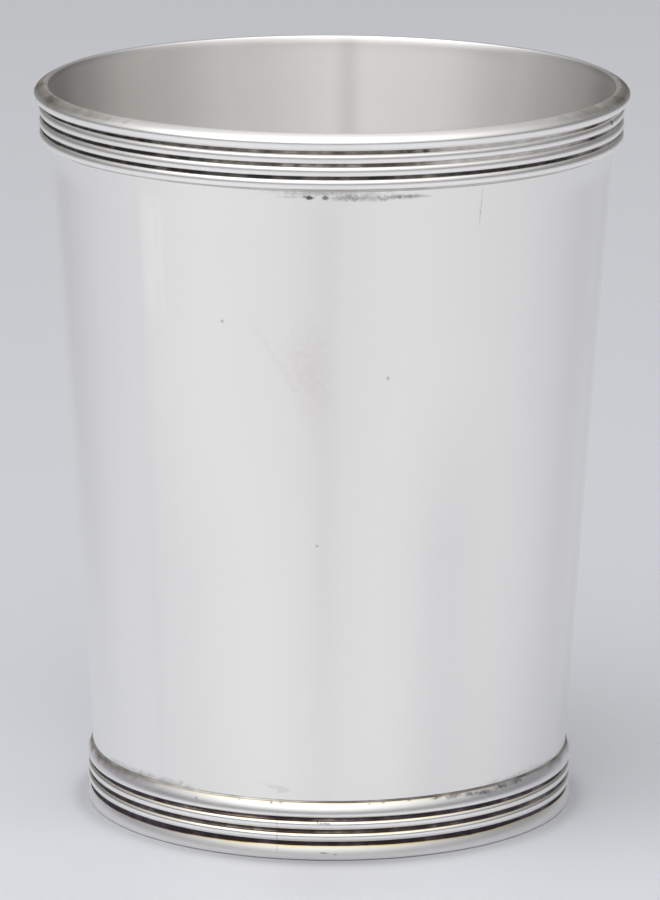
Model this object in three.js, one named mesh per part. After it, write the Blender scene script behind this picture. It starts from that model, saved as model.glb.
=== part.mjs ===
// A silver julep cup: a tapered beaker of sheet silver, with a base let in from above and a
// drawn reeded moulding soldered round the rim and the foot.
// Millimetres, +Z up. The origin is the centre of the plane that the foot stands on.

import * as THREE from 'three';

// Overall sizes
const cupHeight = 98.3;
const rimDiameter = 79.4;
const footDiameter = 65.8;

// Sheet of the body, and how far the mouth flares past the straight taper
const wallThickness = 0.55;
const mouthFlare = 0.3;
const mouthEdgeWidth = 0.49;
const mouthEdgeDrop = 0.7;

// Base disc, let in above the table
const baseRecess = 5.2;
const baseThickness = 0.7;
const baseEdgeRound = 0.2;

// Rim moulding: a lip roll over equal reeds. A crown share is how far up the lip or a broad reed
// its crown sits.
const lipHeight = 2.25;
const lipOverhang = 0.66;
const lipCrownShare = 0.45;
const rimReedHeight = 1.3;
const rimReedStand = 0.45;
const rimGrooveWidth = 0.36;
const rimReedCount = 3;
const rimStripBack = 0.26;

// Foot moulding: a broad reed below, narrow ones in the middle, a broad one above
const footBroadReedHeight = 2.04;
const footBroadCrownShare = 0.2;
const footNarrowReedHeight = 1.21;
const footReedStand = 0.45;
const footGrooveWidth = 0.45;
const footNarrowReedCount = 2;
const footStripBack = 0.4;

// Silver solder: the film in each seam, and the fillets that show along the seams
const seamClearance = 0.1;
const rimFillet = 0.42;
const footFilletRise = 0.14;
const footFilletReach = 0.14;
const footFilletDrop = 0.12;
const baseFillet = 0.6;

// How finely the round shapes are divided
const turnSteps = 72;
const reedQuarterSteps = 3;
const lipQuarterSteps = 4;
const lipLeanSteps = 5;
const footLeanSteps = 4;
const wallSteps = 7;
const edgeSteps = 3;
const filletSteps = 3;

// How the curves bend: the mouth's flare, and the inward lean of the lip and the broad reeds
const flarePower = 5;
const lipLeanPower = 2.2;
const footLeanPower = 1.65;

// Sizes that follow from those above
const rimRadius = rimDiameter / 2;
const rimRootRadius = rimRadius - lipOverhang - rimReedStand;
const lipBottom = cupHeight - lipHeight;
const rimBandBottom = lipBottom - rimReedCount * (rimGrooveWidth + rimReedHeight);
const footRadius = footDiameter / 2;
const footRootRadius = footRadius - footReedStand;
const footBandTop = 2 * footBroadReedHeight + footNarrowReedCount * footNarrowReedHeight
  + (footNarrowReedCount + 1) * footGrooveWidth;
const wallRadiusAtMouth = rimRootRadius - rimStripBack - seamClearance;
const footMiddle = footBandTop / 2;
const wallRadiusAtFoot = footRootRadius - footStripBack - seamClearance;

const polishedSilver = new THREE.MeshStandardMaterial({
  color: new THREE.Color(0.93, 0.92, 0.91), roughness: 0.16, metalness: 1,
});
const wornSilver = new THREE.MeshStandardMaterial({
  color: new THREE.Color(0.88, 0.87, 0.84), roughness: 0.26, metalness: 1,
});
const baseSilver = new THREE.MeshStandardMaterial({
  color: new THREE.Color(0.86, 0.85, 0.83), roughness: 0.36, metalness: 1,
});
const tarnishedSolder = new THREE.MeshStandardMaterial({
  color: new THREE.Color(0.5, 0.46, 0.38), roughness: 0.5, metalness: 1,
});

// Outside radius of the body: a straight taper from the middle of the foot band, with a flare
// that grows towards the mouth
function wallOutside(height) {
  const climb = (height - footMiddle) / (cupHeight - footMiddle);
  const taper = (wallRadiusAtMouth - mouthFlare - wallRadiusAtFoot) * climb;
  return wallRadiusAtFoot + taper + mouthFlare * climb ** flarePower;
}

function wallInside(height) {
  return wallOutside(height) - wallThickness;
}

// Points along part of an ellipse in the section plane, from one angle to another
function arc(centreRadius, centreHeight, halfWidth, halfHeight, from, to, steps) {
  return Array.from({ length: steps + 1 }, (_, i) => {
    const angle = from + (to - from) * i / steps;
    return [
      centreRadius + halfWidth * Math.cos(angle),
      centreHeight + halfHeight * Math.sin(angle),
    ];
  });
}

// A narrow reed from its lower root over its crown to its upper root, as half an ellipse
function roundReed(rootRadius, stand, bottom, height) {
  const half = height / 2;
  return arc(
    rootRadius, bottom + half, stand, half, -Math.PI / 2, Math.PI / 2, 2 * reedQuarterSteps,
  );
}

// The lip and the broad reeds swell to a low crown, then lean in as they climb to an upper root
function leaningReed({ lowerRoot, upperRoot, crownRadius, bottom, height, crownShare, ...bend }) {
  const below = height * crownShare;
  const crown = bottom + below;
  const swell = arc(
    lowerRoot, crown, crownRadius - lowerRoot, below, -Math.PI / 2, 0, bend.swellSteps,
  );
  const lean = Array.from({ length: bend.leanSteps }, (_, i) => {
    const share = (i + 1) / bend.leanSteps;
    return [
      crownRadius - (crownRadius - upperRoot) * share ** bend.leanPower,
      crown + (height - below) * share,
    ];
  });
  return [...swell, ...lean];
}

function broadFootReed(upperRoot, bottom) {
  return leaningReed({
    lowerRoot: footRootRadius,
    upperRoot,
    crownRadius: footRadius,
    bottom,
    height: footBroadReedHeight,
    crownShare: footBroadCrownShare,
    swellSteps: reedQuarterSteps,
    leanSteps: footLeanSteps,
    leanPower: footLeanPower,
  });
}

// A closed section, listed anticlockwise with the radius first, turned about the cup's axis
function revolved(name, section, material) {
  const points = section.map(([radius, height]) => new THREE.Vector2(radius, height));
  const mesh = new THREE.Mesh(new THREE.LatheGeometry(points, turnSteps), material);
  mesh.name = name;
  mesh.rotation.x = Math.PI / 2;
  return mesh;
}

function closed(section) {
  return [...section, section[0]];
}

// The beaker's wall is one sheet, open at both ends, with its mouth edge rounded inside
function bodyWall() {
  const edge = cupHeight - mouthEdgeDrop;
  const heights = Array.from({ length: wallSteps + 1 }, (_, i) => cupHeight * i / wallSteps);
  const outside = heights.map((height) => [wallOutside(height), height]);
  const roundOver = arc(
    wallInside(edge) + mouthEdgeWidth, edge,
    mouthEdgeWidth, mouthEdgeDrop, Math.PI / 2, Math.PI, edgeSteps,
  );
  const inside = heights.slice(0, -1).reverse().map((height) => [wallInside(height), height]);
  return revolved('body_wall', closed([...outside, ...roundOver, ...inside]), polishedSilver);
}

// The base wedges into the taper, with its upper edge eased to seat in the corner
function baseDisc() {
  const top = baseRecess + baseThickness;
  const edge = top - baseEdgeRound;
  const seat = (height) => wallInside(height) - seamClearance;
  const easedEdge = arc(
    seat(edge) - baseEdgeRound, edge,
    baseEdgeRound, baseEdgeRound, 0, Math.PI / 2, edgeSteps,
  );
  const section = [[0, baseRecess], [seat(baseRecess), baseRecess], ...easedEdge, [0, top]];
  return revolved('base_disc', section, baseSilver);
}

// The rim strip hugs the wall outside. Its reeds come first, then the lip roll, which runs in
// to the wall flush with the mouth.
function rimMoulding() {
  const back = (height) => [wallOutside(height) + seamClearance, height];
  const section = [back(rimBandBottom)];
  for (let i = 0; i < rimReedCount; i += 1) {
    const bottom = rimBandBottom + i * (rimReedHeight + rimGrooveWidth);
    section.push(...roundReed(rimRootRadius, rimReedStand, bottom, rimReedHeight));
  }
  section.push(...leaningReed({
    lowerRoot: rimRootRadius,
    upperRoot: back(cupHeight)[0],
    crownRadius: rimRadius,
    bottom: lipBottom,
    height: lipHeight,
    crownShare: lipCrownShare,
    swellSteps: lipQuarterSteps,
    leanSteps: lipLeanSteps,
    leanPower: lipLeanPower,
  }));
  return revolved('rim_moulding', closed(section), wornSilver);
}

// The foot strip stands on the table. Its back follows the wall's taper, and its top reed
// leans in to meet the wall.
function footMoulding() {
  const back = (height) => [wallOutside(height) + seamClearance, height];
  const section = [back(0), ...broadFootReed(footRootRadius, 0)];
  let bottom = footBroadReedHeight + footGrooveWidth;
  for (let i = 0; i < footNarrowReedCount; i += 1) {
    section.push(...roundReed(footRootRadius, footReedStand, bottom, footNarrowReedHeight));
    bottom += footNarrowReedHeight + footGrooveWidth;
  }
  section.push(...broadFootReed(back(footBandTop)[0], bottom));
  return revolved('foot_moulding', closed(section), wornSilver);
}

// Solder drawn into the corner under the rim band, hollow-faced
function rimSolder() {
  const top = rimBandBottom - seamClearance;
  const low = top - rimFillet;
  const reach = wallOutside(top) + seamClearance + rimFillet;
  const face = arc(reach, low, rimFillet, rimFillet, Math.PI, Math.PI / 2, filletSteps);
  face[0] = [wallOutside(low) + seamClearance, low];
  const section = closed([...face, [wallOutside(top) + seamClearance, top]]);
  return revolved('rim_solder', section, tarnishedSolder);
}

// Solder along the top of the foot band, in the open corner between the wall and the flank
function footSolder() {
  const inner = (height) => wallOutside(height) + seamClearance;
  const low = footBandTop + seamClearance;
  const top = low + footFilletRise;
  const toe = [inner(low) + footFilletReach, low - footFilletDrop];
  return revolved('foot_solder', closed([[inner(low), low], toe, [inner(top), top]]), tarnishedSolder);
}

// Solder under the base, in the corner with the inside of the wall
function baseSolder() {
  const top = baseRecess - seamClearance;
  const low = top - baseFillet;
  const outer = (height) => wallInside(height) - seamClearance;
  const face = arc(
    outer(low) - baseFillet, low,
    baseFillet, baseFillet, Math.PI / 2, 0, filletSteps,
  );
  const section = closed([[outer(top), top], ...face]);
  return revolved('base_solder', section, tarnishedSolder);
}

const cup = new THREE.Group();
cup.add(
  bodyWall(), baseDisc(), rimMoulding(), footMoulding(), rimSolder(), footSolder(), baseSolder(),
);

export default cup;
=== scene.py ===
import math

import bpy
import numpy as np
from mathutils import Matrix, Vector


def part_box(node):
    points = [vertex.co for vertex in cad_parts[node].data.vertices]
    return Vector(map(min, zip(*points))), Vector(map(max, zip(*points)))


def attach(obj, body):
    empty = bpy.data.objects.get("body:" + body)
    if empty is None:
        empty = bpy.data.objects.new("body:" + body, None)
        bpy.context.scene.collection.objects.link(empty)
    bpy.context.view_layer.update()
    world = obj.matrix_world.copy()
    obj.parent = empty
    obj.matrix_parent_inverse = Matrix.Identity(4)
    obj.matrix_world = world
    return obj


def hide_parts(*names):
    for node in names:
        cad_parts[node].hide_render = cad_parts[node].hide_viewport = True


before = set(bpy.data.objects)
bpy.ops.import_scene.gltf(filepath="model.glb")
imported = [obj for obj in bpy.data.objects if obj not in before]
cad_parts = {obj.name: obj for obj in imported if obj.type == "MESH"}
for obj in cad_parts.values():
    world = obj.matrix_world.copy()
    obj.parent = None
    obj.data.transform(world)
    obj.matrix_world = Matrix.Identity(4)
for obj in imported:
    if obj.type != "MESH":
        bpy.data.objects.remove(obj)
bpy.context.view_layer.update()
scene = bpy.context.scene
mm = 0.001
print("frame loaded")

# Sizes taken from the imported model, in metres
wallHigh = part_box("body_wall")[1]
rimLow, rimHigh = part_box("rim_moulding")
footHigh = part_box("foot_moulding")[1]
baseLow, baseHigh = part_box("base_disc")
rimSolderLow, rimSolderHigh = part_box("rim_solder")
footSolderLow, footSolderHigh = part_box("foot_solder")
baseSolderLow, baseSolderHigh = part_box("base_solder")
cupHeight = wallHigh.z
wallMouthRadius = wallHigh.x
rimRadius = rimHigh.x
footRadius = footHigh.x
footBandTop = footHigh.z

# points along the parts of a reed's section
swellSteps, leanSteps, reedSteps = 15, 24, 21

# In all dictionaries, angles are degrees from the front towards the right, and a pair of heights
# in mm is where something begins and where it is full
wall = {
    "thickness": 0.55 * mm,
    "flare": 0.3 * mm,
    "flarePower": 5,
    "footMiddleRadius": 31.95 * mm,
    "edgeWidth": 0.49 * mm,
    "edgeDrop": 1.3 * mm,
    "heightSteps": 92,
    "edgeSteps": 13,
    "edgeGap": 0.1 * mm,      # least drop from the rounded edge to the first ring inside
    "turns": 480,
    "wobble": 0.018 * mm,     # how far the sheet strays from a true cone
    # waves of that straying: size, count round the cup, phase, and twist per metre of height
    "waves": [(1, 3, 0.7, 22), (0.6, 5, 2.1, -31)],
    "roundError": 0.1 * mm,   # how far the lip is out of round
    "levelError": 0.14 * mm,  # how much higher the lip is behind
    "errorHeights": (94, 97),
    # painted reflections: upright streaks outside, dark above 0 and pale below: strength, angle,
    # width, the height where one begins, the height where it is full, and its least share
    "paintedStreaks": [
        (0.18, -1, 2.6, 0, 35, 0),
        (0.15, -43, 1.5, 0, 1, 1),
        (0.5, 64, 10, 0, 40, 0.3),
        (0.35, -66, 8, 0, 40, 0.3),
        (0.45, 77, 4, 0, 1, 1),
        (0.7, -73.5, 6, 24, 86, 0),
        (0.55, 26, 10, 66, 42, 0),
        (0.4, -34, 13, 62, 37, 0),
        (-0.7, -39.6, 1.6, 70, 82, 0),
        (-0.6, -36.7, 0.5, 70, 82, 0),
    ],
    "plainStreak": 0.3,       # the streak value where there is none
    "streakTop": (88.8, 86.8),
    "sideAngles": (38, 60),   # where the outside turns to its side colour
    # painted dark reflections: upright bands inside, angle, width and strength
    "insideBands": [
        (176.5, 2.5, 0.7), (120, 9, 0.5), (104, 7, 0.6), (-102, 8, 0.6), (-119, 7, 0.5),
    ],
    "insideFade": 0.14,       # painted shade: how much darker the inside is below the top of the wall
    "fadeHeights": (97, 90),
    # painted shade: the inside is darker by its two ends: angle, width and strength
    "insideEnds": [(-100, 18, 0.82), (100, 15, 0.6), (130, 6, 0.12)],
    "endHeights": (76, 86),
    "outsideMost": 1.2,       # limits of the streaks
    "insideMost": 1.6,
    "wornHeights": (92, 98),  # wear on the inside, up towards the mouth
    "edgeWear": (0.3, 1),     # wear over the rounded edge, from the lip inwards
    "edgeStrips": 5,          # rings of the edge with the reeds' finish
    "edgeTarnishAndShade": (0.45, 0.3),  # tarnish of those rings, and the painted shade that the left and right sides add to it
    "edgeEase": 0.6,          # what is left of it at the last ring
}


def grow(value, none, full, least=0):
    # a share that runs in a straight line from 0 where the value is none to 1 where it is full,
    # held between the least and 1
    return np.clip((value - none) / (full - none), least, 1)


def around(turns):
    # angles round the axis, from the front towards the right
    return np.linspace(0, 2 * math.pi, turns, endpoint=False)


def signedDegrees(angle):
    # the same angles in degrees, from -180 to 180 with 0 in front
    return (np.degrees(angle) + 180) % 360 - 180


def hump(angle, centre, width):
    # bell curve round the axis; centre and width in degrees
    away = (np.degrees(angle) - centre + 180) % 360 - 180
    return np.exp(-(away / width) ** 2)


def wallOutside(z):
    # straight taper from the middle of the foot band to the mouth, plus a flare that grows as a
    # power of the height
    climb = (z - footBandTop / 2) / (cupHeight - footBandTop / 2)
    taper = (wallMouthRadius - wall["flare"] - wall["footMiddleRadius"]) * climb
    return wall["footMiddleRadius"] + taper + wall["flare"] * climb ** wall["flarePower"]


def outOfTrue(angle, z):
    # old hand work: the lip swings outwards as the sine's square plus half the sine, and rises
    # behind as twice the cosine, held at 1
    share = grow(z / mm, *wall["errorHeights"])
    outwards = wall["roundError"] * (np.sin(angle) ** 2 + 0.5 * np.sin(angle))
    return share * outwards, share * wall["levelError"] * np.clip(-2 * np.cos(angle), 0, 1)


def makeMesh(name, points, faces, materials, faceMaterial=None, attributes=None):
    # a smooth mesh, with a material for each face and named values for each point
    mesh = bpy.data.meshes.new(name)
    mesh.from_pydata(points, [], faces)
    mesh.polygons.foreach_set("use_smooth", np.ones(len(faces), bool))
    for material in materials:
        mesh.materials.append(material)
    if faceMaterial is not None:
        mesh.polygons.foreach_set("material_index", faceMaterial.astype(np.int32))
    for key, values in (attributes or {}).items():
        layer = mesh.attributes.new(key, "FLOAT", "POINT")
        layer.data.foreach_set("value", values.astype(np.float32).ravel())
    mesh.update()
    piece = bpy.data.objects.new(name, mesh)
    scene.collection.objects.link(piece)
    return piece


def sweep(r, z, angle):
    # rings of points: x = r sin a, y = -r cos a, z = height
    return np.stack([r * np.sin(angle), -r * np.cos(angle), z], -1).reshape(-1, 3)


def turned(name, radii, heights, turns, materials, faceMaterial=None, attributes=None, shift=None):
    # closed section (radius, height), anticlockwise, swept round the axis; the shift moves each
    # point outwards and up by its angle and height
    angle = around(turns)
    r = np.repeat(radii[:, None], turns, 1)
    z = np.repeat(heights[:, None], turns, 1)
    if shift is not None:
        outwards, up = shift(angle[None, :], z)
        r, z = r + outwards, z + up
    rings = len(radii)
    i, j = np.meshgrid(np.arange(rings), np.arange(turns), indexing="ij")
    inext, jnext = (i + 1) % rings, (j + 1) % turns
    faces = np.stack([i * turns + j, i * turns + jnext, inext * turns + jnext, inext * turns + j], -1)
    byFace = None if faceMaterial is None else np.repeat(faceMaterial, turns)
    return makeMesh(
        name, sweep(r, z, angle), faces.reshape(-1, 4), materials, byFace, attributes,
    )


def swell(rootRadius, crownRadius, low, crown, steps):
    # quarter ellipse from a lower root out to the crown
    t = np.linspace(-math.pi / 2, 0, steps)
    return rootRadius + (crownRadius - rootRadius) * np.cos(t), crown + (crown - low) * np.sin(t)


def roundReed(root, stand, low, height, crownShare):
    # two quarter ellipses, from the lower root to the crown and on to the upper root
    t = np.linspace(-math.pi / 2, math.pi / 2, reedSteps)
    reach = np.where(t < 0, crownShare, 1 - crownShare)
    return root + stand * np.cos(t), low + height * (crownShare + reach * np.sin(t))


def leaningReed(root, crownRadius, upperRoot, low, height, crownShare, power):
    # quarter ellipse up to a low crown, then a flank that leans in as a power of the climb
    crown = low + height * crownShare
    share = np.linspace(0, 1, leanSteps + 1)[1:]
    r, z = swell(root, crownRadius, low, crown, swellSteps)
    lean = crownRadius - (crownRadius - upperRoot) * share ** power
    return (
        np.concatenate([r, lean]),
        np.concatenate([z, crown + (low + height - crown) * share]),
    )


# Materials

def newMaterial(name):
    # a material with its nodes, links and main shader
    material = bpy.data.materials.new(name)
    material.use_nodes = True
    nodes, links = material.node_tree.nodes, material.node_tree.links
    shader = nodes["Principled BSDF"]
    return material, nodes, links, shader


def metal(name):
    # bare metal, to be given its colour and roughness
    material, nodes, links, shader = newMaterial(name)
    shader.inputs["Metallic"].default_value = 1
    return material, nodes, links, shader


def objectCoordinates(nodes, links, scale=(1, 1, 1)):
    # the place on the cup in metres, times a scale for each axis
    place = nodes.new("ShaderNodeTexCoord")
    mapping = nodes.new("ShaderNodeMapping")
    mapping.inputs["Scale"].default_value = scale
    links.new(place.outputs["Object"], mapping.inputs["Vector"])
    return mapping.outputs["Vector"]


def attribute(nodes, name):
    # a value that the mesh carries for each point
    node = nodes.new("ShaderNodeAttribute")
    node.attribute_name = name
    return node.outputs["Fac"]


def noise(nodes, links, vector, scale, detail=3.0, rough=0.5):
    # soft random variation about 0.5, with a grain of about 1 over the scale
    texture = nodes.new("ShaderNodeTexNoise")
    texture.inputs["Scale"].default_value = scale
    texture.inputs["Detail"].default_value = detail
    texture.inputs["Roughness"].default_value = rough
    links.new(vector, texture.inputs["Vector"])
    return texture.outputs["Fac"]


def remap(nodes, links, value, fromLow, fromHigh, toLow, toHigh):
    # one range carried over to another in a straight line, held at both ends
    node = nodes.new("ShaderNodeMapRange")
    node.inputs["From Min"].default_value = fromLow
    node.inputs["From Max"].default_value = fromHigh
    node.inputs["To Min"].default_value = toLow
    node.inputs["To Max"].default_value = toHigh
    links.new(value, node.inputs["Value"])
    return node.outputs["Result"]


def stretch(nodes, links, cloud, low, high):
    # spreads a noise, most of which lies between 0.3 and 0.7, over a range
    return remap(nodes, links, cloud, 0.3, 0.7, low, high)


def ramp(nodes, links, value, stops):
    # colours blended between stops, each of them a place and a colour
    node = nodes.new("ShaderNodeValToRGB")
    while len(node.color_ramp.elements) < len(stops):
        node.color_ramp.elements.new(0.5)
    for element, (place, colour) in zip(node.color_ramp.elements, stops):
        element.position = place
        element.color = (*colour, 1)
    links.new(value, node.inputs["Fac"])
    return node.outputs["Color"]


def maths(nodes, links, operation, a, b):
    # a sum, product or the like of two values, either of which may be a plain number
    node = nodes.new("ShaderNodeMath")
    node.operation = operation
    for slot, value in zip(node.inputs, (a, b)):
        if isinstance(value, (int, float)):
            slot.default_value = value
        else:
            links.new(value, slot)
    return node.outputs["Value"]


def mix(nodes, links, share, a, b):
    # a where the share is 0, b where it is 1; either may be a plain colour
    node = nodes.new("ShaderNodeMix")
    node.data_type = "RGBA"
    colours = [s for s in node.inputs if s.type == "RGBA"]
    for slot, value in zip(colours, (a, b)):
        if isinstance(value, tuple):
            slot.default_value = (*value, 1)
        else:
            links.new(value, slot)
    links.new(share, node.inputs["Factor"])
    return next(s for s in node.outputs if s.type == "RGBA")


def bump(nodes, links, shader, height, strength, distance):
    # tilts the surface as if it rose by the height times the distance
    node = nodes.new("ShaderNodeBump")
    node.inputs["Strength"].default_value = strength
    node.inputs["Distance"].default_value = distance
    links.new(height, node.inputs["Height"])
    links.new(node.outputs["Normal"], shader.inputs["Normal"])


markEdge = {
    "scale": 1500,
    "detail": 3,
    "rough": 0.6,
    "ragged": 0.35,        # how far the outline strays, as a share of the mark's size
    "leastDepth": 1.5 * mm,
}


def spot(nodes, links, ragged, angle, r, z, halfWidth, halfHeight, tilt, soft):
    # a stain: 1 inside an uneven ellipse that faces outwards at the angle and radius, 0 outside
    place = nodes.new("ShaderNodeTexCoord")
    frameOf = nodes.new("ShaderNodeMapping")
    frameOf.vector_type = "TEXTURE"
    a = math.radians(angle)
    frameOf.inputs["Location"].default_value = (r * math.sin(a), -r * math.cos(a), z)
    turn = Matrix.Rotation(a, 3, "Z") @ Matrix.Rotation(math.radians(tilt), 3, "Y")
    frameOf.inputs["Rotation"].default_value = turn.to_euler()
    deep = max(halfWidth, halfHeight, markEdge["leastDepth"])
    frameOf.inputs["Scale"].default_value = (halfWidth, deep, halfHeight)
    links.new(place.outputs["Object"], frameOf.inputs["Vector"])
    reach = nodes.new("ShaderNodeVectorMath")
    reach.operation = "LENGTH"
    links.new(frameOf.outputs["Vector"], reach.inputs[0])
    uneven = maths(nodes, links, "ADD", reach.outputs["Value"], ragged)
    return remap(nodes, links, uneven, 1 - soft, 1, 1, 0)


def marked(nodes, links, colour, marks, markColour, radiusAt):
    # lays each mark of a list over a colour; a mark is its angle, height, half width, half
    # height, tilt, softness and strength
    cloud = noise(
        nodes, links, objectCoordinates(nodes, links),
        markEdge["scale"], markEdge["detail"], markEdge["rough"],
    )
    ragged = stretch(nodes, links, cloud, -markEdge["ragged"], markEdge["ragged"])
    for angle, z, halfWidth, halfHeight, tilt, soft, strength in marks:
        mask = spot(
            nodes, links, ragged, angle, radiusAt(z * mm), z * mm, halfWidth * mm, halfHeight * mm,
            tilt, soft,
        )
        share = maths(nodes, links, "MULTIPLY", mask, strength)
        colour = mix(nodes, links, share, colour, markColour)
    return colour


outerSilver = {
    "colour": (1.0, 0.984, 0.942),
    "sideColour": (1.0, 0.995, 0.99),
    "paintedStreakColour": (0.84, 0.828, 0.81),
    "stainColour": (0.12, 0.105, 0.09),
    "hazeColour": (0.7, 0.5, 0.48),
    "roughLow": 0.16,
    "roughHigh": 0.24,
    "cloudScale": 30,
    "cloudDetail": 4,
    # marks as angle, height, half width, half height, tilt, softness and strength: stains, and some
    # painted shade under the rim band and above the foot band
    "stains": [
        (-4.4, 89.77, 0.85, 0.34, 0, 0.5, 0.95),
        (-1.2, 89.8, 0.6, 0.3, 0, 0.6, 0.75),
        (-7.5, 89.85, 2.4, 0.2, -1, 0.9, 0.3),
        (2.5, 89.8, 3.2, 0.55, 0, 0.9, 0.45),
        (7.5, 89.75, 3.6, 0.6, 0, 0.9, 0.4),
        (12.6, 89.8, 2.6, 0.45, 0, 0.8, 0.65),
        (16.5, 89.8, 2.6, 0.34, 1, 0.9, 0.65),
        # painted shade under the rim band
        (-1.0, 90.4, 8.0, 0.45, 0, 0.9, 0.42),
        (0.2, 90.5, 0.25, 0.2, 0, 0.6, 0.6),
        (31.0, 87.3, 0.16, 3.4, 4, 0.9, 0.3),
        (-22.7, 72.8, 0.3, 0.3, 0, 0.8, 0.5),
        (11.9, 65.7, 0.28, 0.32, 0, 0.8, 0.5),
        (-2.8, 43.15, 0.34, 0.28, 0, 0.8, 0.5),
        (-12.2, 9.7, 2.4, 0.4, 8, 0.9, 0.16),
        (-11.2, 9.1, 1.0, 0.3, -10, 0.9, 0.16),
        # painted shade on the wall just above the foot band, at the left and right
        (-50.0, 7.9, 13.0, 1.0, 0, 1.0, 0.55),
        (55.0, 7.9, 10.0, 0.9, 0, 1.0, 0.5),
        (-12.5, 69.2, 0.5, 10.0, -32, 1.0, 0.04),
    ],
    "hazes": [(-3.9, 66.0, 3.2, 9.0, -6, 1.0, 0.2), (-7.6, 68.2, 3.0, 4.0, 0, 1.0, 0.08)],
}


def polishedSilver():
    # the outside: two whites by the side value, greyer and paler in the painted reflection streaks,
    # under hazes, stains and patches of painted shade
    material, nodes, links, shader = metal("polishedSilver")
    plain = mix(
        nodes, links, attribute(nodes, "side"), outerSilver["colour"], outerSilver["sideColour"],
    )
    colour = mix(nodes, links, attribute(nodes, "paintedStreak"), plain, outerSilver["paintedStreakColour"])
    for kind in ("haze", "stain"):
        colour = marked(
            nodes, links, colour, outerSilver[kind + "s"], outerSilver[kind + "Colour"], wallOutside,
        )
    links.new(colour, shader.inputs["Base Color"])
    cloud = noise(
        nodes, links, objectCoordinates(nodes, links),
        outerSilver["cloudScale"], outerSilver["cloudDetail"],
    )
    links.new(
        stretch(nodes, links, cloud, outerSilver["roughLow"], outerSilver["roughHigh"]),
        shader.inputs["Roughness"],
    )
    return material


insideSilver = {
    "brightColour": (1.0, 0.99, 0.975),
    "dullColour": (0.985, 0.965, 0.942),
    # colours of the painted reflection streaks and of the painted shade by the two ends
    "paintedStreakColour": (0.8, 0.79, 0.78),
    "endShadeColour": (0.4, 0.39, 0.385),
    "rough": 0.45,
    "wornRough": -0.08,    # how much smoother wear leaves it near the mouth
    "anisotropy": 0.92,
    "grainTurn": 0.25,
    "lineScale": 4800,     # turning lines up the height, as a noise scale
    "lineStretch": (0.006, 0.006, 1),
    "bandScale": 110,      # soft upright bands round the inside
    "bandStretch": (1, 1, 0.08),
    "detail": 3,
    "noiseRough": 0.6,
    "lineShare": 0.4,
    "grainRange": (0.55, 0.85),
    "lineStrength": 0.3,
    "lineDepth": 0.01 * mm,
}


def satinSilver():
    # the inside: turning lines and soft upright bands blend two silvers, under painted reflection
    # streaks, painted shade lower down and painted shade by the two ends
    material, nodes, links, shader = metal("satinSilver")
    wear = maths(nodes, links, "MULTIPLY", attribute(nodes, "wear"), insideSilver["wornRough"])
    links.new(
        maths(nodes, links, "ADD", wear, insideSilver["rough"]), shader.inputs["Roughness"],
    )
    shader.inputs["Anisotropic"].default_value = insideSilver["anisotropy"]
    shader.inputs["Anisotropic Rotation"].default_value = insideSilver["grainTurn"]
    lines, bands = [
        noise(
            nodes, links, objectCoordinates(nodes, links, insideSilver[kind + "Stretch"]),
            insideSilver[kind + "Scale"], insideSilver["detail"], insideSilver["noiseRough"],
        )
        for kind in ("line", "band")
    ]
    someLines = maths(nodes, links, "MULTIPLY", lines, insideSilver["lineShare"])
    grain = maths(nodes, links, "ADD", someLines, bands)
    share = remap(nodes, links, grain, *insideSilver["grainRange"], 0, 1)
    colour = mix(nodes, links, share, insideSilver["dullColour"], insideSilver["brightColour"])
    colour = mix(nodes, links, attribute(nodes, "paintedStreak"), colour, insideSilver["paintedStreakColour"])
    colour = mix(nodes, links, attribute(nodes, "side"), colour, insideSilver["endShadeColour"])
    links.new(colour, shader.inputs["Base Color"])
    bump(nodes, links, shader, lines, insideSilver["lineStrength"], insideSilver["lineDepth"])
    return material


discSilver = {
    "brightColour": (0.97, 0.955, 0.935),
    "dullColour": (0.86, 0.84, 0.81),
    "ringScale": 900,      # turning rings, as a noise scale along the radius
    "ringDetail": 3,
    "cloudScale": 70,
    "cloudDetail": 4,
    "noiseRough": 0.6,
    "cloudShare": 0.6,
    "grainRange": (0.6, 1),
    "rough": 0.36,
    "ringStrength": 0.4,
    "ringDepth": 0.01 * mm,
}


def turnedSilver():
    # the base: a noise along the distance from the axis makes rings, and clouds soften them
    material, nodes, links, shader = metal("turnedSilver")
    shader.inputs["Roughness"].default_value = discSilver["rough"]
    fromAxis = nodes.new("ShaderNodeVectorMath")
    fromAxis.operation = "LENGTH"
    links.new(objectCoordinates(nodes, links, (1, 1, 0)), fromAxis.inputs[0])
    rings = noise(
        nodes, links, fromAxis.outputs["Value"],
        discSilver["ringScale"], discSilver["ringDetail"], discSilver["noiseRough"],
    )
    clouds = noise(
        nodes, links, objectCoordinates(nodes, links),
        discSilver["cloudScale"], discSilver["cloudDetail"], discSilver["noiseRough"],
    )
    someClouds = maths(nodes, links, "MULTIPLY", clouds, discSilver["cloudShare"])
    grain = maths(nodes, links, "ADD", rings, someClouds)
    share = remap(nodes, links, grain, *discSilver["grainRange"], 0, 1)
    colour = mix(nodes, links, share, discSilver["dullColour"], discSilver["brightColour"])
    links.new(colour, shader.inputs["Base Color"])
    bump(nodes, links, shader, rings, discSilver["ringStrength"], discSilver["ringDepth"])
    return material


reedSilver = {
    "colour": (0.95, 0.945, 0.935),
    "goldColour": (0.92, 0.74, 0.34),
    "markColour": (0.06, 0.055, 0.07),
    "cloudScale": 260,
    "cloudDetail": 5,
    "cloudRough": 0.6,
    "uneven": 0.1,         # how much the tarnish varies from place to place
    "goldPatches": (0.6, 1.2),  # how the gold varies from place to place
    "dullFrom": 0.5,       # tarnish past which the finish turns dull
    "tarnishedRough": 0.45,
    "wornRough": 0.12,     # what wear adds to the roughness
}

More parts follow.
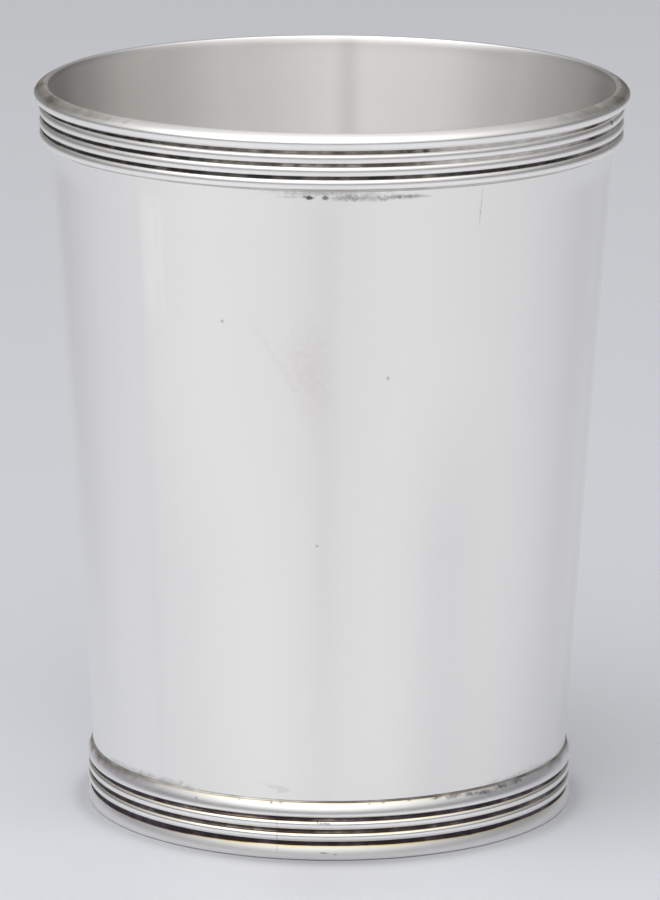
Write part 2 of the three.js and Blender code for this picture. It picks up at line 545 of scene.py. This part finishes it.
# stops run from clean to tarnished
rimFinish = {
    "rough": 0.28,
    "golden": False,
    "markRadius": rimRadius - 0.8 * mm,
    "stops": [
        (0.0, (0.95, 0.935, 0.915)),
        (0.6, (0.92, 0.905, 0.885)),
        (0.8, (0.5, 0.46, 0.41)),
        (0.92, (0.15, 0.14, 0.13)),
        (1.0, (0.045, 0.042, 0.042)),
    ],
    "marks": [
        (18.3, 95.85, 0.55, 0.3, 0, 0.6, 0.8),
        (70.7, 95.3, 0.6, 0.4, 0, 0.7, 0.8),
        (-46.9, 90.9, 0.5, 0.2, 0, 0.6, 0.6),
    ],
}
footFinish = {
    "rough": 0.16,
    "golden": True,
    "markRadius": footRadius,
    "stops": [
        (0.0, (1.0, 1.0, 1.0)),
        (0.64, (0.92, 0.91, 0.94)),
        (0.82, (0.46, 0.42, 0.43)),
        (0.92, (0.13, 0.115, 0.15)),
        (1.0, (0.06, 0.052, 0.08)),
    ],
    # the first is the strip's upright joint
    "marks": [
        (-12.0, 3.3, 0.09, 2.7, 0, 0.6, 0.45),
        (-0.8, 5.12, 1.1, 0.12, 0, 0.5, 0.7),
        (-2.6, 5.25, 0.16, 0.22, 0, 0.6, 0.7),
        (-1.0, 1.05, 0.9, 0.12, 4, 0.6, 0.5),
        (1.5, 0.9, 0.5, 0.1, -6, 0.6, 0.45),
        (-32.5, 7.1, 0.35, 0.16, 20, 0.7, 0.5),
        (-21.5, 7.65, 0.3, 0.12, 0, 0.7, 0.45),
        (-13.5, 7.6, 0.26, 0.18, 0, 0.6, 0.7),
        (-11.2, 7.65, 0.34, 0.14, 0, 0.6, 0.6),
        (9.5, 7.6, 0.3, 0.16, 30, 0.7, 0.5),
        (12.8, 7.65, 0.36, 0.13, 0, 0.7, 0.5),
        (19.0, 7.7, 0.4, 0.13, 0, 0.7, 0.5),
        # painted dark reflections on the top reed, from here to the end of the list
        (26.0, 7.66, 1.1, 0.28, -6, 0.9, 0.75),
        (30.5, 7.58, 1.4, 0.42, -2, 0.9, 0.85),
        (35.0, 7.45, 1.0, 0.34, 6, 0.9, 0.7),
        (39.0, 7.3, 2.2, 0.4, 3, 0.9, 0.8),
        (45.0, 7.5, 1.8, 0.34, 0, 0.9, 0.8),
        (50.5, 7.6, 2.0, 0.34, 0, 0.9, 0.65),
    ],
}


def reededSilver(name, finish):
    # tarnish is the groove depth plus a cloud and picks a colour between the stops; on a golden
    # finish that colour multiplies a silver blended with gold
    material, nodes, links, shader = metal(name)
    cloud = noise(
        nodes, links, objectCoordinates(nodes, links),
        reedSilver["cloudScale"], reedSilver["cloudDetail"], reedSilver["cloudRough"],
    )
    uneven = stretch(nodes, links, cloud, -reedSilver["uneven"], reedSilver["uneven"])
    tarnish = maths(nodes, links, "ADD", attribute(nodes, "grooveDepth"), uneven)
    colour = ramp(nodes, links, tarnish, finish["stops"])
    if finish["golden"]:
        patchy = stretch(nodes, links, cloud, *reedSilver["goldPatches"])
        gold = maths(nodes, links, "MULTIPLY", attribute(nodes, "goldStain"), patchy)
        silver = mix(nodes, links, gold, reedSilver["colour"], reedSilver["goldColour"])
        blend = nodes.new("ShaderNodeVectorMath")
        blend.operation = "MULTIPLY"
        links.new(silver, blend.inputs[0])
        links.new(colour, blend.inputs[1])
        colour = blend.outputs["Vector"]
    colour = marked(
        nodes, links, colour, finish["marks"], reedSilver["markColour"],
        lambda z: finish["markRadius"],
    )
    links.new(colour, shader.inputs["Base Color"])
    dull = remap(
        nodes, links, tarnish, reedSilver["dullFrom"], 1, finish["rough"], reedSilver["tarnishedRough"],
    )
    wear = maths(nodes, links, "MULTIPLY", attribute(nodes, "wear"), reedSilver["wornRough"])
    links.new(maths(nodes, links, "ADD", dull, wear), shader.inputs["Roughness"])
    return material


solder = {
    # clean colour and tarnished colour
    "colours": {
        "rim": ((0.85, 0.82, 0.78), (0.45, 0.42, 0.38)),
        "foot": ((0.95, 0.93, 0.89), (0.1, 0.085, 0.06)),
        "base": ((0.75, 0.72, 0.65), (0.3, 0.27, 0.2)),
    },
    # how tarnished each line is at angles round the cup
    "angles": [-180, -70, -50, -35, -20, -12, 0, 15, 30, 60, 180],
    "levels": {
        "rim": [0.5, 0.5, 0.5, 0.4, 0.45, 0.5, 0.55, 0.6, 0.5, 0.5, 0.5],
        "foot": [0.6, 0.6, 0.6, 0.5, 0.38, 0.65, 0.82, 0.85, 0.8, 0.6, 0.6],
        "base": [0.5] * 11,
    },
    "rough": 0.5,
    "cloudScale": 300,
    "cloudDetail": 4,
    "uneven": 0.2,
    "turns": 360,
    "faceSteps": 9,
    "rimSink": 0.02 * mm,  # how far the rim line reaches into the wall, out of sight
    "baseReach": 0.6 * mm,
}


def solderSilver(kind):
    # tarnish is the line's level plus a cloud and blends the two colours
    material, nodes, links, shader = metal(kind + "Solder")
    shader.inputs["Roughness"].default_value = solder["rough"]
    cloud = noise(
        nodes, links, objectCoordinates(nodes, links), solder["cloudScale"], solder["cloudDetail"],
    )
    uneven = stretch(nodes, links, cloud, -solder["uneven"], solder["uneven"])
    tarnish = maths(nodes, links, "ADD", attribute(nodes, "tarnish"), uneven)
    links.new(mix(nodes, links, tarnish, *solder["colours"][kind]), shader.inputs["Base Color"])
    return material


polished = polishedSilver()
satin = satinSilver()
disc = turnedSilver()
rimSilver = reededSilver("rimSilver", rimFinish)
footSilver = reededSilver("footSilver", footFinish)
print("materials made")


def finishPiece(piece, slotName, *nodes):
    # the piece rides on the cup's one body and stands for the named solids
    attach(piece, "root")
    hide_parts(*nodes)


def wallStray(angle, height):
    # the lip's error, plus waves left by raising the sheet, which fade out at the foot and mouth
    fade = np.sin(np.clip(height / cupHeight, 0, 1) * math.pi)
    waves = sum(
        size * np.sin(count * angle + phase + twist * height)
        for size, count, phase, twist in wall["waves"]
    )
    outwards, up = outOfTrue(angle, height)
    return outwards + wall["wobble"] * fade * waves, up


def makeWall():
    # the section goes up the outside, over a quarter ellipse at the mouth and down the inside
    steps, turns, edgeSteps = wall["heightSteps"], wall["turns"], wall["edgeSteps"]
    z = np.linspace(0, cupHeight, steps)
    edge = cupHeight - wall["edgeDrop"]
    t = np.linspace(math.pi / 2, math.pi, edgeSteps)
    innerEdge = wallOutside(edge) - wall["thickness"] + wall["edgeWidth"]
    inner = z[z < edge - wall["edgeGap"]][::-1]
    radii = np.concatenate([
        wallOutside(z), innerEdge + wall["edgeWidth"] * np.cos(t),
        wallOutside(inner) - wall["thickness"],
    ])
    heights = np.concatenate([z, edge + wall["edgeDrop"] * np.sin(t), inner])
    # 0 is the polished outside, 1 the satin inside and 2 the edge next to the lip
    first = steps - 1
    kind = (np.arange(len(radii)) >= first).astype(int)
    kind[first:first + wall["edgeStrips"]] = 2

    angle = around(turns)
    level = heights[:, None] / mm
    # painted reflections on the outside: dark and pale upright streaks
    paintedStreaks = sum(
        strength * hump(angle, at, width) * grow(level, none, full, least)
        for strength, at, width, none, full, least in wall["paintedStreaks"]
    )
    outside = wall["plainStreak"] + grow(level, *wall["streakTop"]) * paintedStreaks
    side = grow(np.abs(signedDegrees(angle)), *wall["sideAngles"])
    inside = sum(strength * hump(angle, at, width) for at, width, strength in wall["insideBands"])
    inside = inside + wall["insideFade"] * grow(level, *wall["fadeHeights"])
    ends = sum(strength * hump(angle, at, width) for at, width, strength in wall["insideEnds"])
    ends = ends * grow(level, *wall["endHeights"])
    # wear dulls the edge, and smooths the inside a little way down
    worn = grow(heights / mm, *wall["wornHeights"])
    worn[first:first + edgeSteps + 1] = np.linspace(*wall["edgeWear"], edgeSteps + 1)
    # the edge's tarnish, with painted shade added at the left and right sides, eases inwards
    reach = [first, first + wall["edgeStrips"]]
    eased = np.interp(np.arange(len(radii)), reach, [1, wall["edgeEase"]])
    least, more = wall["edgeTarnishAndShade"]
    isInside = (kind == 1)[:, None]
    piece = turned(
        "beakerWall", radii, heights, turns, [polished, satin, rimSilver], kind,
        {
            # the streak value carries painted reflections, and inside painted shade lower down too;
            # inside, the side value carries the painted shade by the two ends
            "paintedStreak": np.where(
                isInside, inside.clip(0, wall["insideMost"]), outside.clip(0, wall["outsideMost"]),
            ),
            "side": np.where(isInside, ends, side),
            "grooveDepth": eased[:, None] * (least + more * np.abs(np.sin(angle))),
            "wear": np.repeat(worn, turns),
        },
        wallStray,
    )
    finishPiece(piece, "polished_silver", "body_wall")


rimBand = {
    "lipHeight": 2.25 * mm,
    "lipCrownShare": 0.45,
    "lipLeanPower": 2.2,
    "reedCount": 3,
    "reedHeight": 1.3 * mm,
    "reedCrownShare": 0.47,
    "reedStand": 0.45 * mm,
    "grooveWidth": 0.36 * mm,
    "lipOverhang": 0.66 * mm,
    "seam": 0.1 * mm,
    "sink": 0.12 * mm,     # how far the strip's back reaches into the wall, out of sight
    "backSteps": 12,
    "backDrop": 0.002 * mm,  # how far below the mouth the back begins
    "wornDepth": 0.35 * mm,  # how far down from the mouth the lip is worn
    "turns": 720,
    # painted shade on the top of the lip, deepest towards the left and right, by height in mm and by
    # angle to either side
    "lipTopHeights": [97.0, 97.1, 97.8, 98.3],
    "lipTopShares": [0, 0.6, 1, 0.97],
    "lipTopAngles": [35, 55, 80, 100, 125, 150, 170],
    "lipTopLevels": [0.5, 0.74, 0.84, 0.86, 0.92, 0.78, 0],
    # the grooves' dark spreads further over the reeds towards the left and right sides
    "endSpread": 0.5,
    "endAngles": (55, 80),
    "lowestLevel": 0.3,    # tarnish under the lowest reed
    "lipShadeReach": 0.5,  # how far out under the lip the groove's tarnish reaches
    # how dark each groove is at angles round the cup, from the lowest groove up
    "grooveAngles": [-180, -80, -60, -28, -20, 12, 20, 26, 50, 62, 75, 180],
    "grooveLevels": [
        [0.95, 1.0, 1.0, 1.0, 0.97, 0.96, 0.97, 1.0, 0.96, 0.85, 0.8, 0.95],
        [0.95, 1.0, 1.0, 1.0, 0.9, 0.92, 0.82, 0.7, 0.68, 0.9, 0.8, 0.95],
        [0.95, 1.0, 1.0, 0.92, 0.88, 0.88, 0.86, 0.68, 0.7, 0.92, 0.7, 0.95],
    ],
}


def makeRim():
    # round reeds from the bottom up, then the leaning lip and a back inside the wall; the tarnish
    # deepens with the distance in from the crowns
    turns = rimBand["turns"]
    degrees = signedDegrees(around(turns))
    root = rimRadius - rimBand["lipOverhang"] - rimBand["reedStand"]
    lipLow = cupHeight - rimBand["lipHeight"]
    levels = [np.interp(degrees, rimBand["grooveAngles"], v) for v in rimBand["grooveLevels"]]
    spread = 1 - rimBand["endSpread"] * grow(np.abs(degrees), *rimBand["endAngles"])
    radii, heights, depth = [], [], []
    low = rimLow.z
    for k in range(rimBand["reedCount"]):
        r, z = roundReed(
            root, rimBand["reedStand"], low, rimBand["reedHeight"], rimBand["reedCrownShare"],
        )
        radii.append(r)
        heights.append(z)
        inward = 1 - (r - root) / rimBand["reedStand"]
        upper = (z > low + rimBand["reedHeight"] * rimBand["reedCrownShare"])[:, None]
        lowerLevel = levels[k - 1] if k else np.full(turns, rimBand["lowestLevel"])
        depth.append(
            inward.clip(0, 1)[:, None] ** spread
            * np.where(upper, levels[k][None, :], lowerLevel[None, :])
        )
        low += rimBand["reedHeight"] + rimBand["grooveWidth"]
    r, z = leaningReed(
        root, rimRadius, wallOutside(cupHeight) + rimBand["seam"], lipLow,
        rimBand["lipHeight"], rimBand["lipCrownShare"], rimBand["lipLeanPower"],
    )
    radii.append(r)
    heights.append(z)
    inward = np.clip(1 - (r - root) / (rimBand["lipShadeReach"] * (rimRadius - root)), 0, 1)
    inward[swellSteps:] = 0
    # painted shade over the lip's top, deepest at the left and right
    lipTop = np.interp(z / mm, rimBand["lipTopHeights"], rimBand["lipTopShares"])
    lipSideShade = np.interp(np.abs(degrees), rimBand["lipTopAngles"], rimBand["lipTopLevels"])
    depth.append(inward[:, None] * levels[-1][None, :] + lipTop[:, None] * lipSideShade)
    backZ = np.linspace(cupHeight - rimBand["backDrop"], rimLow.z, rimBand["backSteps"])
    radii.append(wallOutside(backZ) - rimBand["sink"])
    heights.append(backZ)
    depth.append(np.zeros((rimBand["backSteps"], turns)))
    # use has dulled the very top of the lip
    z = np.concatenate(heights)
    worn = (z - cupHeight + rimBand["wornDepth"]) / rimBand["wornDepth"]
    piece = turned(
        "rimBand", np.concatenate(radii), z, turns, [rimSilver], None,
        {
            "grooveDepth": np.concatenate(depth),
            "wear": np.repeat(worn.clip(0, 1), turns),
        },
        outOfTrue,
    )
    finishPiece(piece, "worn_silver", "rim_moulding")


footBand = {
    "broadHeight": 2.04 * mm,
    "broadCrownShare": 0.2,
    "leanPower": 1.65,
    "narrowHeight": 1.21 * mm,
    "narrowCrownShare": 0.56,
    "reedStand": 0.45 * mm,
    "grooveWidth": 0.45 * mm,
    "seam": 0.1 * mm,
    "sink": 0.12 * mm,
    "backSteps": 10,
    "turns": 720,
    # where each kind of reed has its crown, as a point of its section, and how worn it is
    "crownPoint": {"broad": swellSteps - 1, "narrow": reedSteps // 2},
    "wear": {"broad": 1.0, "narrow": 0.0},
    "lowestWear": 0.6,     # what the lowest reed has more
    # how far the groove's tarnish reaches down the flank below it, and on the lowest reed how far the
    # groove's dark reaches as it changes round the cup, in mm
    "shadeReach": 0.04 * mm,
    "lowestReach": [0.3, 0.3, 0.45, 0.3, 0.15, 0.15, 0.2, 0.33, 0.1, 0.2, 0.3],
    # painted shade under the lowest reed, its share away from the front, and how wide the front is
    "lowestShade": 0.52,
    "lowestLeast": 0.5,
    "lowestFront": 45,
    # how many reaches below an edge its tarnish and its gold are gone
    "shadeEnd": 1.5,
    "goldEnd": 1.4,
    # tarnish where a groove meets the narrow reed below it
    "narrowShade": [0.9, 0.9, 0.93, 0.88, 0.85, 0.95, 0.95, 0.93, 0.88, 0.9, 0.9],
    "goldReach": {"narrow": 0.2 * mm, "broad": 0.35 * mm},
    # how golden the edges are at angles round the cup, from the lowest edge up
    "goldAngles": [-180, -75, -45, -30, -15, 0, 20, 35, 50, 75, 180],
    "goldLevels": [
        [0.3, 0.3, 0.6, 1.0, 1.0, 1.0, 1.0, 0.9, 0.6, 0.3, 0.3],
        [0.3, 0.2, 0.5, 0.6, 0.7, 0.8, 0.8, 0.6, 0.4, 0.2, 0.3],
        [0.3, 0.2, 0.5, 0.6, 0.7, 0.7, 0.7, 0.5, 0.4, 0.2, 0.3],
        [0.3, 0.1, 0.2, 0.5, 0.6, 0.6, 0.5, 0.3, 0.1, 0.1, 0.3],
    ],
    # the flank of the top reed is darker towards the left and right sides, most near its top
    "flankAngles": [-180, -70, -50, -35, -20, -5, 15, 25, 40, 55, 70, 180],
    "flankLevels": [0.5, 0.55, 0.5, 0.35, 0.05, 0, 0, 0.1, 0.3, 0.45, 0.5, 0.5],
    "flankShade": 0.5,
    "flankRise": 0.36,
    "flankReach": 0.8,
}


def makeFoot():
    # reeds from the table up, broad, narrow, narrow and broad, then a back inside the wall; each
    # edge's tarnish and gold fade in a straight line down the flank from the groove above
    turns = footBand["turns"]
    root = footRadius - footBand["reedStand"]
    wallBack = wallOutside(footBandTop) + footBand["seam"]
    angle = around(turns)
    degrees = signedDegrees(angle)
    levels = [np.interp(degrees, footBand["goldAngles"], v) for v in footBand["goldLevels"]]
    flank = np.interp(degrees, footBand["flankAngles"], footBand["flankLevels"])
    lowestReach = np.interp(degrees, footBand["goldAngles"], footBand["lowestReach"]) * mm
    edgeShade = np.interp(degrees, footBand["goldAngles"], footBand["narrowShade"])
    radii, heights, depth, gold, wear = [], [], [], [], []
    low = 0.0
    plan = [("broad", root), ("narrow", root), ("narrow", root), ("broad", wallBack)]
    for (kind, upperRoot), level in zip(plan, levels):
        height = footBand[kind + "Height"]
        if kind == "broad":
            r, z = leaningReed(
                root, footRadius, upperRoot, low,
                height, footBand["broadCrownShare"], footBand["leanPower"],
            )
        else:
            r, z = roundReed(
                root, footBand["reedStand"], low, height, footBand["narrowCrownShare"],
            )
        radii.append(r)
        heights.append(z)
        fromTop = low + height - z
        upper = np.arange(len(z)) >= footBand["crownPoint"][kind]
        below = np.repeat(1 - (r - root)[:, None] / footBand["reedStand"], turns, 1)
        reach = np.full(turns, footBand["shadeReach"])
        worn = footBand["wear"][kind]
        # the lowest reed's underside gets painted shade, deepest in front
        if low == 0:
            least = footBand["lowestLeast"]
            front = least + (1 - least) * hump(angle, 0, footBand["lowestFront"])
            below = below * footBand["lowestShade"] * front
            reach = lowestReach
            worn += footBand["lowestWear"]
        shade = (footBand["shadeEnd"] - fromTop[:, None] / reach).clip(0, 1)
        if kind == "narrow":
            shade = shade * edgeShade
        if upperRoot == wallBack:
            rise = (1 - fromTop / (footBand["flankReach"] * height)).clip(0, 1)[:, None]
            flankDark = footBand["flankShade"] + footBand["flankRise"] * rise
            shade = flankDark * flank / flank.max()
        depth.append(np.where(upper[:, None], shade, below))
        stain = (footBand["goldEnd"] - fromTop / footBand["goldReach"][kind]).clip(0, 1)
        gold.append(np.where(upper, stain, 0)[:, None] * level)
        wear.append(np.full((len(z), turns), worn))
        low += height + footBand["grooveWidth"]
    backZ = np.linspace(footBandTop, 0, footBand["backSteps"])
    radii.append(wallOutside(backZ) - footBand["sink"])
    heights.append(backZ)
    for values in (depth, gold, wear):
        values.append(np.zeros((footBand["backSteps"], turns)))
    piece = turned(
        "footBand", np.concatenate(radii), np.concatenate(heights), turns, [footSilver], None,
        {
            "grooveDepth": np.concatenate(depth),
            "goldStain": np.concatenate(gold),
            "wear": np.concatenate(wear),
        },
    )
    finishPiece(piece, "worn_silver", "foot_moulding")


def makeSolder(kind, radii, heights, node):
    # one turned line, with its tarnish read between the angles of the table
    degrees = signedDegrees(around(solder["turns"]))
    level = np.interp(degrees, solder["angles"], solder["levels"][kind])
    piece = turned(
        kind + "SolderLine", radii, heights, solder["turns"], [solderSilver(kind)], None,
        {"tarnish": np.tile(level, len(radii))},
    )
    finishPiece(piece, "tarnished_solder", node)


def makeSolders():
    # hollow-faced fillets: a quarter ellipse whose centre lies outside the metal
    t = np.linspace(0, math.pi / 2, solder["faceSteps"])
    low, top = rimSolderLow.z, rimSolderHigh.z
    inner, outer = wallOutside(top) - solder["rimSink"], rimSolderHigh.x
    makeSolder(
        "rim",
        np.concatenate([outer - (outer - wallOutside(low)) * np.cos(t), [inner]]),
        np.concatenate([low + (top - low) * np.sin(t), [top]]),
        "rim_solder",
    )
    low, top = footSolderLow.z, footSolderHigh.z
    inner, outer = wallOutside(top), footSolderHigh.x
    makeSolder(
        "foot",
        np.concatenate([[inner], outer - (outer - inner) * np.sin(t)]),
        np.concatenate([[low], top - (top - low) * np.cos(t)]),
        "foot_solder",
    )
    low, top = baseSolderLow.z, baseSolderHigh.z
    outer, reach = baseSolderHigh.x, solder["baseReach"]
    makeSolder(
        "base",
        np.concatenate([[outer], outer - reach + reach * np.cos(t[::-1])]),
        np.concatenate([[top], low + (top - low) * np.sin(t[::-1])]),
        "base_solder",
    )


base = {
    "turns": 360,
    "ease": 0.2 * mm,      # radius of the eased upper edge
    "easeSteps": 7,
    "flatSteps": 14,
    "flatShares": (0.02, 0.98),
}


def makeBase():
    # section on the axis: underside outwards, eased upper edge, top back to the axis
    turns, ease, flatSteps = base["turns"], base["ease"], base["flatSteps"]
    rim = baseHigh.x - ease
    t = np.linspace(0, math.pi / 2, base["easeSteps"])
    flat = np.linspace(*base["flatShares"], flatSteps) * rim
    r = np.concatenate([flat, [baseHigh.x], rim + ease * np.cos(t), flat[::-1]])
    z = np.concatenate([
        np.full(flatSteps + 1, baseLow.z), baseHigh.z - ease + ease * np.sin(t),
        np.full(flatSteps, baseHigh.z),
    ])
    points = sweep(r[:, None], np.repeat(z[:, None], turns, 1), around(turns))
    i, j = np.meshgrid(np.arange(len(r) - 1), np.arange(turns), indexing="ij")
    jnext = (j + 1) % turns
    faces = np.stack(
        [i * turns + j, i * turns + jnext, (i + 1) * turns + jnext, (i + 1) * turns + j], -1
    ).reshape(-1, 4).tolist()
    last = (len(r) - 1) * turns
    faces += [list(range(turns))[::-1], [last + k for k in range(turns)]]
    piece = makeMesh("baseDisc", points, faces, [disc])
    finishPiece(piece, "base_silver", "base_disc")


makeWall()
makeRim()
makeFoot()
makeSolders()
makeBase()
print("cup made")

# Camera, fitted to the ellipses of the grooves in the photograph
photoCamera = {
    "distance": 840.11 * mm,
    "height": 242.63 * mm,
    "pitch": math.radians(13.0434),
    "roll": math.radians(0.243),
    "focalPixels": 6381.1,
    "photoHeight": 900,
    "sensor": 36,
    "shift": -0.0003,
    "clip": (0.01, 20),
}


def makeCamera():
    # the focal length in mm is the one in pixels times the sensor over the photograph's height
    data = bpy.data.cameras.new("photoCamera")
    data.sensor_width = photoCamera["sensor"]
    data.lens = photoCamera["focalPixels"] * photoCamera["sensor"] / photoCamera["photoHeight"]
    data.shift_x = photoCamera["shift"]
    data.clip_start, data.clip_end = photoCamera["clip"]
    camera = bpy.data.objects.new("photoCamera", data)
    scene.collection.objects.link(camera)
    place = Matrix.Translation((0, -photoCamera["distance"], photoCamera["height"]))
    tilt = Matrix.Rotation(math.pi / 2 - photoCamera["pitch"], 4, "X")
    roll = Matrix.Rotation(photoCamera["roll"], 4, "Z")
    camera.matrix_world = place @ tilt @ roll
    scene.camera = camera


makeCamera()

table = {
    "turns": 240,
    "middleRadius": 8 * mm,
    "nearRadii": (31 * mm, 42 * mm),
    "nearRings": 23,
    "farRadii": (45 * mm, 4.0),
    "farRings": 54,
    "drop": 0.0001 * mm,
    "tint": (0.97, 0.985, 1.04),
    "level": 0.78,
    "rough": 0.35,
    # painted shade and light, as darker and paler ways out from the cup: strength, angle and width
    "paintedWays": [(-0.06, -2.5, 18), (-0.012, -2.5, 6), (0.03, -55, 17), (0.015, 40, 20)],
    # painted fall of light: how much greyer it is this far behind, and paler this far in front
    "greyBehind": (0.14, 0.7),
    "paleInFront": (0.04, 0.06),
    # painted light: the back left is a little paler near the foot: strength, angle, width and reach
    "paleNear": (0.1, -118, 35, 45 * mm),
    "contactDip": 0.48,    # painted contact shadow where the foot stands
    "contactReach": 2.9 * mm,
    "contactEdge": 0.5 * mm,
    "edgeLift": 0.4,       # how much of that shade the very edge lacks
    # the shade is widest and deepest in front, over this many degrees, and elsewhere has these
    # shares of its reach and depth
    "frontWidth": 40,
    "sideReach": 0.62,
    "sideDip": 0.6,
}


def makeTable():
    # a disc of rings, whose far ones spread out as a cube; its paleness is a level plus painted paler
    # and darker patches, times a painted fade of light with distance, times a painted contact shadow,
    # a bell curve out from the foot
    material, nodes, links, shader = newMaterial("paleTable")
    tint = nodes.new("ShaderNodeVectorMath")
    tint.operation = "SCALE"
    tint.inputs[0].default_value = table["tint"]
    links.new(attribute(nodes, "paleness"), tint.inputs["Scale"])
    links.new(tint.outputs["Vector"], shader.inputs["Base Color"])
    shader.inputs["Roughness"].default_value = table["rough"]
    turns = table["turns"]
    angle = around(turns)
    near, far = table["farRadii"]
    radius = np.concatenate([
        [table["middleRadius"]], np.linspace(*table["nearRadii"], table["nearRings"]),
        near + (far - near) * np.linspace(0, 1, table["farRings"]) ** 3,
    ])
    rings = len(radius)
    points = sweep(radius[:, None], np.zeros((rings, turns)), angle)
    paintedWays = sum(strength * hump(angle, at, width) for strength, at, width in table["paintedWays"])
    behind = -radius[:, None] * np.cos(angle)
    grey, greyDistance = table["greyBehind"]
    pale, paleDistance = table["paleInFront"]
    fade = 1 - grey * grow(behind, 0, greyDistance) + pale * grow(behind, 0, -paleDistance)
    away = np.clip(radius - footRadius, 0, 1)[:, None]
    front = hump(angle, 0, table["frontWidth"])
    reach = table["contactReach"] * (table["sideReach"] + (1 - table["sideReach"]) * front)
    shade = np.exp(-(away / reach) ** 2)
    shade = shade - table["edgeLift"] * np.exp(-(away / table["contactEdge"]) ** 2)
    dip = table["contactDip"] * (table["sideDip"] + (1 - table["sideDip"]) * front)
    strength, at, width, nearReach = table["paleNear"]
    paler = strength * hump(angle, at, width) * np.exp(-away / nearReach)
    paleness = (table["level"] + paintedWays + paler) * fade * (1 - dip * shade)
    i, j = np.meshgrid(np.arange(rings - 1), np.arange(turns), indexing="ij")
    jnext = (j + 1) % turns
    faces = np.stack(
        [i * turns + j, (i + 1) * turns + j, (i + 1) * turns + jnext, i * turns + jnext], -1
    ).reshape(-1, 4).tolist()
    faces.append(list(range(turns)))
    top = makeMesh("tableTop", points, faces, [material], None, {"paleness": paleness})
    top.location.z = -table["drop"]


flag = {"radius": 1.5, "top": 0.45, "level": 0.24, "turns": 96}


def makeFlags():
    # painted reflection: a ring round the table that glows a dim grey in place of dark cloth, seen only
    # in reflections
    material = bpy.data.materials.new("darkFlag")
    material.use_nodes = True
    nodes, links = material.node_tree.nodes, material.node_tree.links
    nodes.clear()
    glow = nodes.new("ShaderNodeEmission")
    out = nodes.new("ShaderNodeOutputMaterial")
    glow.inputs["Color"].default_value = (*[flag["level"]] * 3, 1)
    links.new(glow.outputs["Emission"], out.inputs["Surface"])
    turns = flag["turns"]
    heights = np.repeat([[0], [flag["top"]]], turns, 1)
    points = sweep(np.full((2, 1), flag["radius"]), heights, around(turns))
    j = np.arange(turns)
    faces = np.stack([j, (j + 1) % turns, turns + (j + 1) % turns, turns + j], -1)
    flags = makeMesh("darkFlags", points, faces.tolist(), [material])
    flags.visible_camera = False
    flags.visible_diffuse = False
    flags.visible_shadow = False


surround = {
    "lightWay": (-0.1, -0.4, 0.91),
    # brightness by how near a direction is to the light's, as the cosine between them
    "levels": [
        (-0.6, 0.1), (-0.2, 0.13), (0.0, 0.17), (0.21, 0.29), (0.43, 0.48),
        (0.62, 0.68), (0.7, 0.85), (0.83, 1.0), (1.0, 1.1),
    ],
    "strength": 1.24,
    "sideDark": 0.4,       # how much darker it is behind to the left and right
    "sideLeast": 0.35,
}


def makeSurround():
    # the brightness runs between the levels by the cosine to the light, less a share that grows
    # as the distance aside times the distance behind
    world = bpy.data.worlds.new("studio")
    scene.world = world
    world.use_nodes = True
    nodes, links = world.node_tree.nodes, world.node_tree.links
    background = nodes["Background"]
    place = nodes.new("ShaderNodeTexCoord")
    facing = nodes.new("ShaderNodeVectorMath")
    facing.operation = "DOT_PRODUCT"
    facing.inputs[1].default_value = Vector(surround["lightWay"]).normalized()
    links.new(place.outputs["Generated"], facing.inputs[0])
    least = surround["levels"][0][0]
    share = remap(nodes, links, facing.outputs["Value"], least, 1, 0, 1)
    stops = [
        ((near - least) / (1 - least), (level, level, level)) for near, level in surround["levels"]
    ]
    split = nodes.new("ShaderNodeSeparateXYZ")
    links.new(place.outputs["Generated"], split.inputs["Vector"])
    aside = maths(nodes, links, "ABSOLUTE", split.outputs["X"], 0)
    behind = maths(nodes, links, "MAXIMUM", split.outputs["Y"], 0)
    dark = maths(nodes, links, "MULTIPLY", aside, behind)
    dark = maths(nodes, links, "MULTIPLY", dark, -surround["sideDark"])
    lit = maths(nodes, links, "ADD", dark, 1)
    level = maths(nodes, links, "MAXIMUM", lit, surround["sideLeast"])
    glow = nodes.new("ShaderNodeVectorMath")
    glow.operation = "SCALE"
    links.new(ramp(nodes, links, share, stops), glow.inputs[0])
    links.new(level, glow.inputs["Scale"])
    links.new(glow.outputs["Vector"], background.inputs["Color"])
    background.inputs["Strength"].default_value = surround["strength"]


softbox = {"size": (1.2, 0.9), "power": 1.8, "place": (-0.35, -0.45, 1.0), "aim": (0, 0, 0.03)}


def makeSoftbox():
    # one large lamp above and to the front left, turned towards the cup
    data = bpy.data.lights.new("keySoftbox", "AREA")
    data.shape = "RECTANGLE"
    data.size, data.size_y = softbox["size"]
    data.energy = softbox["power"]
    lamp = bpy.data.objects.new("keySoftbox", data)
    lamp.location = softbox["place"]
    scene.collection.objects.link(lamp)
    aim = Vector(softbox["aim"]) - lamp.location
    lamp.rotation_euler = aim.to_track_quat("-Z", "Y").to_euler()


makeTable()
makeFlags()
makeSurround()
makeSoftbox()
scene.cycles.glossy_bounces = 12
scene.view_settings.view_transform = "Standard"
print("stage made")
